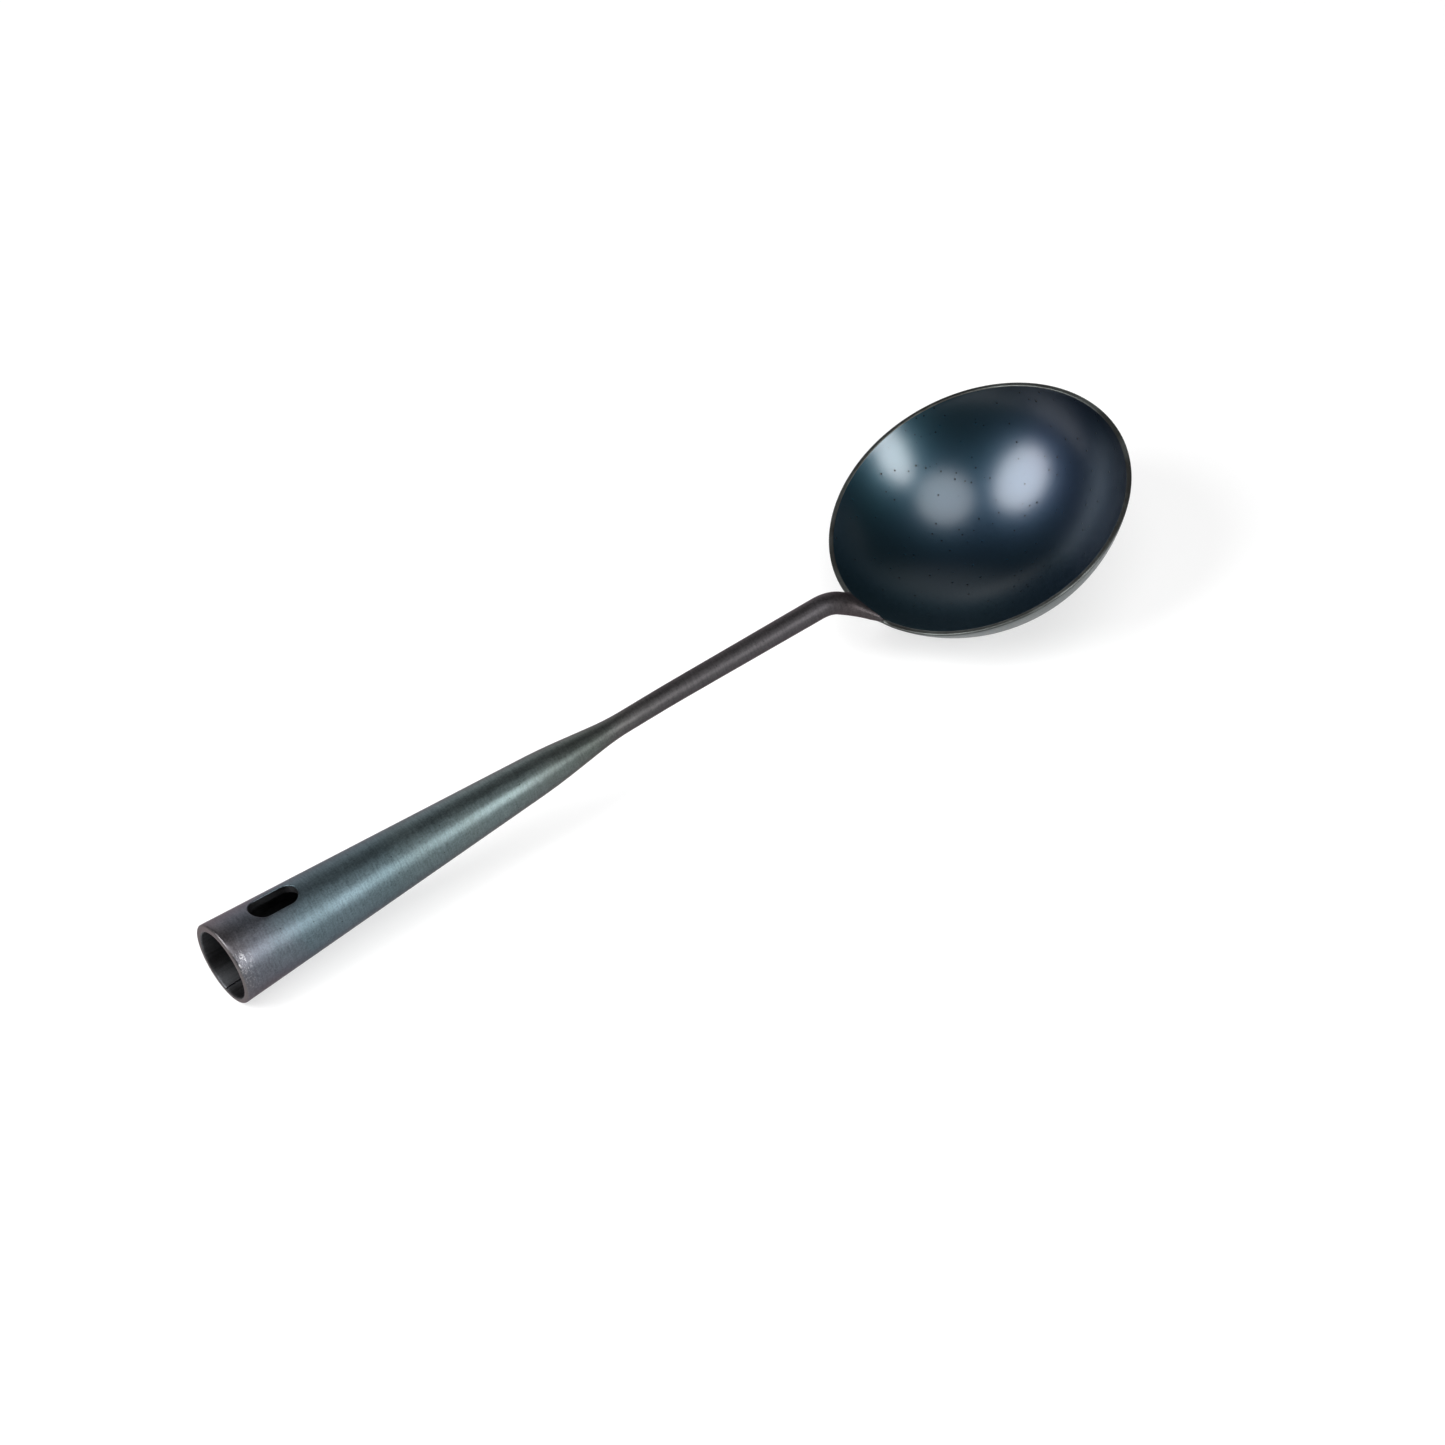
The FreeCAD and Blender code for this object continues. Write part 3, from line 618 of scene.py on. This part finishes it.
def forgedGrain():
    # fine speckle, soft clouds, pits and brush lines, as on steel that was blackened by heat
    group = bpy.data.node_groups.new("forgedGrain", "ShaderNodeTree")
    for name, kind, default in grainSettings["inputs"]:
        group.interface.new_socket(name, in_out="INPUT", socket_type=kind).default_value = default
    for name in grainSettings["outputs"]:
        group.interface.new_socket(name, in_out="OUTPUT", socket_type="NodeSocketFloat")
    start = addNode(group, "NodeGroupInput").outputs
    end = addNode(group, "NodeGroupOutput").inputs
    speckle = addNode(group, "ShaderNodeTexNoise")
    speckle.inputs["Detail"].default_value = grainSettings["speckleDetail"]
    speckle.inputs["Roughness"].default_value = grainSettings["speckleRoughness"]
    cloud = addNode(group, "ShaderNodeTexNoise")
    cloud.inputs["Detail"].default_value = grainSettings["cloudDetail"]
    cell = addNode(group, "ShaderNodeTexVoronoi")
    depth = math2(group, "DIVIDE", cell.outputs["Distance"], start["Pit Size"])
    pit = mapValue(group, depth, grainSettings["pitFloor"], 1, 1, 0)
    chance = addNode(group, "ShaderNodeSeparateColor")
    link(group, cell.outputs["Color"], chance.inputs[0])
    pit = math2(group, "MULTIPLY", pit, pick(group, chance.outputs[0], *grainSettings["pitChance"]))
    turned = addNode(group, "ShaderNodeVectorRotate", rotation_type="EULER_XYZ")
    link(group, start["Vector"], turned.inputs["Vector"])
    link(group, start["Brush Turn"], turned.inputs["Rotation"])
    along = addNode(group, "ShaderNodeVectorMath", operation="MULTIPLY")
    link(group, turned.outputs[0], along.inputs[0])
    link(group, start["Brush Stretch"], along.inputs[1])
    brush = addNode(group, "ShaderNodeTexNoise")
    brush.inputs["Detail"].default_value = grainSettings["brushDetail"]
    link(group, along.outputs[0], brush.inputs["Vector"])
    link(group, start["Brush Scale"], brush.inputs["Scale"])
    for made, scale in ((speckle, "Speckle Scale"), (cloud, "Cloud Scale"), (cell, "Pit Scale")):
        link(group, start["Vector"], made.inputs["Vector"])
        link(group, start[scale], made.inputs["Scale"])
    for name, value in (("Speckle", speckle.outputs["Fac"]), ("Cloud", cloud.outputs["Fac"]),
                        ("Pits", pit), ("Brush", brush.outputs["Fac"])):
        link(group, value, end[name])
    return group


grainGroup = forgedGrain()

# Patterns read object coordinates, turned to run along the handle or round the bowl.
handleTurn = Matrix.Rotation(handle["slope"], 4, "Y")
handleAxes = lay @ Matrix.Translation(mouth) @ handleTurn   # +X from the mouth towards the bowl
bowlAxes = lay @ Matrix.Translation((0, 0, sphereHeight))

outsideLook = {
    "reach": 290 * mm,     # the colours' stretch, from the mouth to the bowl
    "colours": [           # tempering colours along it: purple-grey, blue, teal, green-grey, charcoal
        (0.00, (0.100, 0.095, 0.103)), (0.05, (0.092, 0.099, 0.116)), (0.12, (0.084, 0.115, 0.132)),
        (0.24, (0.080, 0.112, 0.124)), (0.36, (0.100, 0.128, 0.130)), (0.46, (0.098, 0.118, 0.116)),
        (0.52, (0.085, 0.097, 0.090)), (0.58, (0.073, 0.072, 0.071)), (0.64, (0.062, 0.059, 0.061)),
        (0.90, (0.066, 0.062, 0.066)), (0.97, (0.064, 0.055, 0.056))],
    "wander": 0.035,       # how far clouds shift the colours
    "grain": {"Speckle Scale": 1500, "Cloud Scale": 42, "Pit Scale": 330, "Pit Size": 0.12,
              "Brush Scale": 1400, "Brush Turn": (math.radians(14), 0, math.radians(8)),
              "Brush Stretch": (1, 0.16, 0.16)},
    "texture": (0.65, 0.35),   # shares of speckle and brush lines
    "textureSpan": (0.36, 0.64), "textureShade": (0.74, 1.26),
    "pit": (0.015, 0.014, 0.014), "pitShade": 0.55, "pitDepth": -0.6,
    "roughness": (0.34, 0.44), "rodRoughness": 0.10, "rodFrom": (0.5, 0.62), "speckleRoughness": 0.05,
    "edge": (0.60, 0.54, 0.56),
    "worn": (0.28, 0.27, 0.27), "wornReach": 7 * mm,
    "wornClouds": (0.54, 0.64), "wornSpeckles": (0.55, 0.66),
    "scratched": (0.48, 0.48, 0.49), "scratchPlace": (2.2 * mm, -12.8 * mm, 8.6 * mm),
    "scratchReach": 4.6 * mm, "scratchStrength": 1.1, "scratchLines": (0.52, 0.60),
    "scratchSpeckles": (0.44, 0.54),
    "landSheen": (0.130, 0.123, 0.120),   # painted reflection: the flat ring of the mouth is painted lighter and warmer
    "landReach": (0.15 * mm, 0.6 * mm), "landSheenStrength": 0.8,
    "bump": (0.50, 0.12 * mm),
}


def outsideSteel():
    look = outsideLook
    made, tree, shader = steelMaterial("outsideSteel")
    vector = objectPlace(tree, handleAxes)
    axes = splitAxes(tree, vector)
    along = mapValue(tree, axes["X"], 0, look["reach"], 0, 1)
    grain = placeGrain(tree, vector, look["grain"])
    wander = math2(tree, "ADD", along, spread(tree, grain["Cloud"], -look["wander"], look["wander"]))
    colour = colourRamp(tree, wander, look["colours"])
    texture = math2(tree, "ADD", math2(tree, "MULTIPLY", grain["Speckle"], look["texture"][0]),
                    math2(tree, "MULTIPLY", grain["Brush"], look["texture"][1]))
    shade = mapValue(tree, texture, *look["textureSpan"], *look["textureShade"])
    colour = mixColour(tree, 1.0, colour, shade, "MULTIPLY")
    colour = mixColour(tree, mapValue(tree, grain["Pits"], 0, 1, 0, look["pitShade"]), colour, look["pit"])
    wear = math2(tree, "MULTIPLY", mapValue(tree, axes["X"], 0, look["wornReach"], 1, 0),
                 pick(tree, grain["Cloud"], *look["wornClouds"]))
    wear = math2(tree, "MULTIPLY", wear, pick(tree, grain["Speckle"], *look["wornSpeckles"]))
    colour = mixColour(tree, wear, colour, look["worn"])
    knock = closeTo(tree, vector, look["scratchPlace"], 0, look["scratchReach"], look["scratchStrength"])
    scratch = math2(tree, "MULTIPLY", knock, pick(tree, grain["Brush"], *look["scratchLines"]))
    scratch = math2(tree, "MULTIPLY", scratch, pick(tree, grain["Speckle"], *look["scratchSpeckles"]))
    colour = mixColour(tree, scratch, colour, look["scratched"])
    # painted reflection: a lighter, warmer colour on the mouth's flat ring
    landSheen = mapValue(tree, axes["X"], *look["landReach"], look["landSheenStrength"], 0)
    colour = mixColour(tree, landSheen, colour, look["landSheen"])
    link(tree, colour, shader.inputs["Base Color"])
    rough = spread(tree, grain["Cloud"], *look["roughness"])
    rough = math2(tree, "ADD", rough, mapValue(tree, along, *look["rodFrom"], 0, look["rodRoughness"]))
    speckled = spread(tree, grain["Speckle"], -look["speckleRoughness"], look["speckleRoughness"])
    link(tree, math2(tree, "ADD", rough, speckled), shader.inputs["Roughness"])
    shader.inputs["Specular Tint"].default_value = (*look["edge"], 1)
    height = math2(tree, "ADD", texture, math2(tree, "MULTIPLY", grain["Pits"], look["pitDepth"]))
    addBump(tree, shader, height, *look["bump"])
    return made


insideLook = {
    "turn": math.radians(-36),   # turned so that +X runs to the ladle's far side, where the temper is bluer
    "teal": (0.004, 0.038, 0.058), "navy": (0.008, 0.025, 0.058), "pit": (0.002, 0.003, 0.004),
    "halfWidth": 45 * mm, "blend": (-0.15, 1.15), "wander": 0.3,   # from teal to navy, shifted by clouds
    "grain": {"Speckle Scale": 2200, "Cloud Scale": 16, "Pit Scale": 400, "Pit Size": 0.19,
              "Brush Scale": 900, "Brush Stretch": (1, 0.1, 1)},
    "pitShade": 0.8, "roughness": (0.37, 0.45),
    "coat": 0.62, "coatChange": 0.06, "coatRoughness": 0.25, "coatIor": 1.92,
    "farRimShadeReach": 17 * mm, "farRimShadeStrength": 0.62, "farRimShadeFrom": (-22 * mm, 12 * mm),   # painted shade: the far rim is painted darker, and its coat thinner
    "speckleHeight": 0.12, "pitDepth": -1, "bump": (0.7, 0.16 * mm),
}


def insideSteel():
    look = insideLook
    made, tree, shader = steelMaterial("insideSteel")
    vector = objectPlace(tree, bowlAxes @ Matrix.Rotation(look["turn"], 4, "Z"))
    axes = splitAxes(tree, vector)
    grain = placeGrain(tree, vector, look["grain"])
    across = mapValue(tree, axes["X"], -look["halfWidth"], look["halfWidth"], *look["blend"])
    shade = math2(tree, "ADD", across, spread(tree, grain["Cloud"], -look["wander"], look["wander"]))
    colour = mixColour(tree, shade, look["teal"], look["navy"])
    # painted shade: the base colour darkens towards the far rim, near the lip
    farRimShade = math2(tree, "MULTIPLY", mapValue(tree, axes["X"], *look["farRimShadeFrom"], 0, look["farRimShadeStrength"]),
                  mapValue(tree, axes["Z"], -sphereHeight - look["farRimShadeReach"], -sphereHeight, 0, 1))
    colour = mixColour(tree, farRimShade, colour, look["pit"])
    colour = mixColour(tree, mapValue(tree, grain["Pits"], 0, 1, 0, look["pitShade"]), colour, look["pit"])
    link(tree, colour, shader.inputs["Base Color"])
    link(tree, spread(tree, grain["Speckle"], *look["roughness"]), shader.inputs["Roughness"])
    thinnest, thickest = look["coat"] * (1 - look["coatChange"]), look["coat"] * (1 + look["coatChange"])
    oil = math2(tree, "MULTIPLY", mapValue(tree, grain["Pits"], 0, 1, 1, 0),
                spread(tree, grain["Speckle"], thinnest, thickest))
    # the painted shade at the far rim also thins the coat
    oil = math2(tree, "MULTIPLY", oil, math2(tree, "SUBTRACT", 1, farRimShade))
    link(tree, oil, shader.inputs["Coat Weight"])
    shader.inputs["Coat Roughness"].default_value = look["coatRoughness"]
    shader.inputs["Coat IOR"].default_value = look["coatIor"]
    height = math2(tree, "ADD", math2(tree, "MULTIPLY", grain["Speckle"], look["speckleHeight"]),
                   math2(tree, "MULTIPLY", grain["Pits"], look["pitDepth"]))
    addBump(tree, shader, height, *look["bump"])
    return made


lipLook = {
    "worn": (0.125, 0.136, 0.132), "dark": (0.055, 0.057, 0.055), "wornClouds": (0.42, 0.64),
    "roughness": (0.36, 0.52), "bump": (0.4, 0.1 * mm),
    "grain": {"Speckle Scale": 1800, "Cloud Scale": 60, "Pit Scale": 400, "Pit Size": 0.1,
              "Brush Scale": 1800, "Brush Stretch": (0.1, 0.1, 1)},
}


def lipSteel():
    look = lipLook
    made, tree, shader = steelMaterial("lipSteel")
    grain = placeGrain(tree, objectPlace(tree, bowlAxes), look["grain"])
    colour = mixColour(tree, pick(tree, grain["Cloud"], *look["wornClouds"]), look["dark"], look["worn"])
    link(tree, colour, shader.inputs["Base Color"])
    link(tree, spread(tree, grain["Speckle"], *look["roughness"]), shader.inputs["Roughness"])
    addBump(tree, shader, grain["Speckle"], *look["bump"])
    return made


wallLook = {
    "light": (0.130, 0.150, 0.152), "dark": (0.042, 0.052, 0.056), "roughness": (0.36, 0.5),
    "ringSpan": (0.40, 0.58), "ringReach": 9 * mm, "ringFade": 0.3,   # rings are strong near the rim
    "root": (0.064, 0.058, 0.060), "rootPlace": (-57 * mm, 0, -34 * mm), "rootReach": (9 * mm, 17 * mm),
    "rootShade": 0.9, "speckleShade": (0.8, 1.2), "speckleHeight": 0.4, "bump": (0.4, 0.12 * mm),
    "grain": {"Speckle Scale": 1500, "Cloud Scale": 25, "Pit Scale": 300, "Pit Size": 0.1,
              "Brush Scale": 900, "Brush Stretch": (0.006, 0.006, 1)},
}


def wallSteel():
    # the bowl's outside keeps the rings that the turning tool left
    look = wallLook
    made, tree, shader = steelMaterial("wallSteel")
    vector = objectPlace(tree, bowlAxes)
    grain = placeGrain(tree, vector, look["grain"])
    axes = splitAxes(tree, vector)
    near = mapValue(tree, axes["Z"], -sphereHeight - look["ringReach"], -sphereHeight, look["ringFade"], 1)
    ringed = math2(tree, "SUBTRACT", pick(tree, grain["Brush"], *look["ringSpan"]), 0.5)
    ringed = math2(tree, "ADD", math2(tree, "MULTIPLY", ringed, near), 0.5)
    colour = mixColour(tree, ringed, look["dark"], look["light"])
    byRoot = closeTo(tree, vector, look["rootPlace"], *look["rootReach"], look["rootShade"])
    colour = mixColour(tree, byRoot, colour, look["root"])
    colour = mixColour(tree, 1.0, colour, spread(tree, grain["Speckle"], *look["speckleShade"]), "MULTIPLY")
    link(tree, colour, shader.inputs["Base Color"])
    link(tree, spread(tree, grain["Cloud"], *look["roughness"]), shader.inputs["Roughness"])
    height = math2(tree, "ADD", grain["Brush"],
                   math2(tree, "MULTIPLY", grain["Speckle"], look["speckleHeight"]))
    addBump(tree, shader, math2(tree, "MULTIPLY", height, near), *look["bump"])
    return made


boreLook = {
    "grey": (0.085, 0.088, 0.094), "brown": (0.036, 0.035, 0.037), "brushShare": 0.5, "streaks": (0.6, 0.9),
    "pit": (0.02, 0.019, 0.018), "pitShade": 0.6, "roughness": (0.42, 0.6), "bump": (0.5, 0.15 * mm),
    "grain": {"Speckle Scale": 1400, "Cloud Scale": 90, "Pit Scale": 300, "Pit Size": 0.1,
              "Brush Scale": 700, "Brush Stretch": (0.08, 1, 1)},
}


def boreSteel():
    look = boreLook
    made, tree, shader = steelMaterial("boreSteel")
    grain = placeGrain(tree, objectPlace(tree, handleAxes), look["grain"])
    streak = math2(tree, "ADD", grain["Cloud"], math2(tree, "MULTIPLY", grain["Brush"], look["brushShare"]))
    colour = mixColour(tree, pick(tree, streak, *look["streaks"]), look["brown"], look["grey"])
    colour = mixColour(tree, mapValue(tree, grain["Pits"], 0, 1, 0, look["pitShade"]), colour, look["pit"])
    link(tree, colour, shader.inputs["Base Color"])
    link(tree, spread(tree, grain["Speckle"], *look["roughness"]), shader.inputs["Roughness"])
    addBump(tree, shader, grain["Speckle"], *look["bump"])
    return made


finishes = [outsideSteel, insideSteel, lipSteel, boreSteel, wallSteel]
finishFit = {              # how near to a form's own surface a face's middle counts as on it
    "inside": 0.2 * mm, "insideFrom": 0.8, "lipTo": 1.05,   # these two in roundings of the lip
    "lipInner": 1 * mm, "lipOuter": 0.1 * mm, "wall": 0.12 * mm,
    "mouth": 0.1 * mm, "bore": 0.35 * mm, "slot": 1 * mm,
}


def inHandle(place):
    # whether a place in the handle's axes lies on the bore or in the slot
    if not -finishFit["mouth"] < place.x < handle["length"] + handle["boreTip"]:
        return False
    if math.hypot(place.y, place.z + handle["boreDrop"]) < boreRadius(place.x) + finishFit["bore"]:
        return True
    slotFrom = slot["inset"] - finishFit["slot"]
    slotTo = slot["inset"] + slot["length"] + finishFit["slot"]
    underSkin = math.hypot(place.y, place.z) < handleRadius(place.x) - slot["round"]
    return slotFrom < place.x < slotTo and underSkin


def finishAt(onBowl, onHandle):
    # the finish of a place that is given in the bowl's axes and in the handle's
    depth, lip = -sphereHeight - onBowl.z, bowl["lipRound"]
    if inHandle(onHandle):
        return boreSteel
    if onBowl.length < innerRadius + finishFit["inside"] and depth > lip * finishFit["insideFrom"]:
        return insideSteel
    if abs(depth) < lip * finishFit["lipTo"] and \
            innerRadius - finishFit["lipInner"] < onBowl.length < outerRadius + finishFit["lipOuter"]:
        return lipSteel
    if abs(onBowl.length - outerRadius) < finishFit["wall"] and depth > 0:
        return wallSteel
    return outsideSteel


def paintFaces():
    toBowl, toHandle = bowlAxes.inverted(), handleAxes.inverted()
    for make in finishes:
        ladle.data.materials.append(make())
    for face in ladle.data.polygons:
        face.material_index = finishes.index(finishAt(toBowl @ face.center, toHandle @ face.center))


paintFaces()
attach(ladle, "root")
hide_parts("wok_ladle")
print("finishes placed")


# Stage: a pale floor, a dim sky with pale screens in it, and three soft boxes.

stage = {
    "floorRadius": 4.0, "floorSides": 96, "floorColour": (0.44, 0.44, 0.44), "floorLift": 0.60,
    "floorRoughness": 0.9, "floorShine": 0.2,
    "sky": [(0.0, 0.10), (0.2, 0.05), (1.0, 0.025)],   # brightness from the horizon to overhead
    "glows": [             # the screens: azimuth, elevation, cosine of the reach, and brightness
        (66, 6, 0.78, 1.60), (-12, 12, 0.93, 0.40), (45, 36, 0.84, 0.42)],
}
softBoxes = {              # azimuth, elevation and distance from the bowl, width, height and brightness
    "rightBox": (-79, 23, 1.4, 0.52, 1.02, 10.0),
    "topBox": (-108, 63.5, 2.6, 1.70, 1.70, 3.9),
    "leftBox": (170, 38, 1.4, 0.88, 1.08, 8.0),
}


def floorMaterial():
    # lifted towards white where it is seen, but not as a lamp
    made = bpy.data.materials.new("paleFloor")
    made.use_nodes = True
    tree = made.node_tree
    shader = tree.nodes["Principled BSDF"]
    shader.inputs["Base Color"].default_value = (*stage["floorColour"], 1)
    shader.inputs["Roughness"].default_value = stage["floorRoughness"]
    shader.inputs["Specular IOR Level"].default_value = stage["floorShine"]
    path = addNode(tree, "ShaderNodeLightPath").outputs
    seen = math2(tree, "ADD", path["Is Camera Ray"], path["Is Glossy Ray"])
    seen = math2(tree, "ADD", seen, path["Is Transmission Ray"])
    lift = math2(tree, "MULTIPLY", seen, stage["floorLift"])
    shader.inputs["Emission Color"].default_value = (1, 1, 1, 1)
    link(tree, lift, shader.inputs["Emission Strength"])
    return made


def addFloor():
    mesh = bmesh.new()
    bmesh.ops.create_circle(mesh, cap_ends=True, segments=stage["floorSides"], radius=stage["floorRadius"])
    floor = asObject("floor", mesh)
    floor.data.materials.append(floorMaterial())


def skyDirection(azimuth, elevation):
    azimuth, elevation = math.radians(azimuth), math.radians(elevation)
    return Vector((math.cos(azimuth) * math.cos(elevation), math.sin(azimuth) * math.cos(elevation),
                   math.sin(elevation)))


def addSky():
    world = bpy.data.worlds.new("studio")
    scene.world = world
    world.use_nodes = True
    tree = world.node_tree
    direction = addNode(tree, "ShaderNodeTexCoord").outputs["Generated"]
    stops = [(spot, (level, level, level)) for spot, level in stage["sky"]]
    sky = colourRamp(tree, splitAxes(tree, direction)["Z"], stops)
    for azimuth, elevation, reach, brightness in stage["glows"]:
        toGlow = addNode(tree, "ShaderNodeVectorMath", operation="DOT_PRODUCT")
        link(tree, direction, toGlow.inputs[0])
        toGlow.inputs[1].default_value = skyDirection(azimuth, elevation)
        glow = mapValue(tree, toGlow.outputs["Value"], reach, 1, 0, brightness)
        sky = mixColour(tree, 1.0, sky, glow, "ADD")
    link(tree, sky, tree.nodes["Background"].inputs["Color"])


def addSoftBox(name, azimuth, elevation, distance, width, height, brightness):
    light = bpy.data.lights.new(name, "AREA")
    light.shape = "ELLIPSE"
    light.size, light.size_y = width, height
    light.energy = brightness * math.pi * width * height * math.pi / 4   # the same brightness at every size
    made = bpy.data.objects.new(name, light)
    ahead = -skyDirection(azimuth, elevation)
    made.location = bowlAxes.to_translation() - ahead * distance
    made.rotation_euler = ahead.to_track_quat("-Z", "Y").to_euler()
    scene.collection.objects.link(made)


cameraView = {             # found from the rim's ellipse, the handle's line and the mouth's ellipse
    "aim": Vector((11.8, -12.2, 15.1)) * mm, "distance": 2.1358, "azimuth": 57.967, "elevation": 39.701,
    "roll": -6.684, "focalPixels": 6000, "imagePixels": 1445, "sensor": 36,
}


def addCamera():
    data = bpy.data.cameras.new("camera")
    data.sensor_width = cameraView["sensor"]
    data.lens = data.sensor_width * cameraView["focalPixels"] / cameraView["imagePixels"]
    made = bpy.data.objects.new("camera", data)
    ahead = skyDirection(cameraView["azimuth"], -cameraView["elevation"])
    turn = ahead.to_track_quat("-Z", "Y").to_matrix().to_4x4()
    roll = Matrix.Rotation(math.radians(cameraView["roll"]), 4, "Z")
    made.matrix_world = Matrix.Translation(cameraView["aim"] - ahead * cameraView["distance"]) @ turn @ roll
    scene.collection.objects.link(made)
    scene.camera = made


addFloor()
addSky()
for name, values in softBoxes.items():
    addSoftBox(name, *values)
addCamera()
scene.view_settings.view_transform = "Standard"
print("stage set")
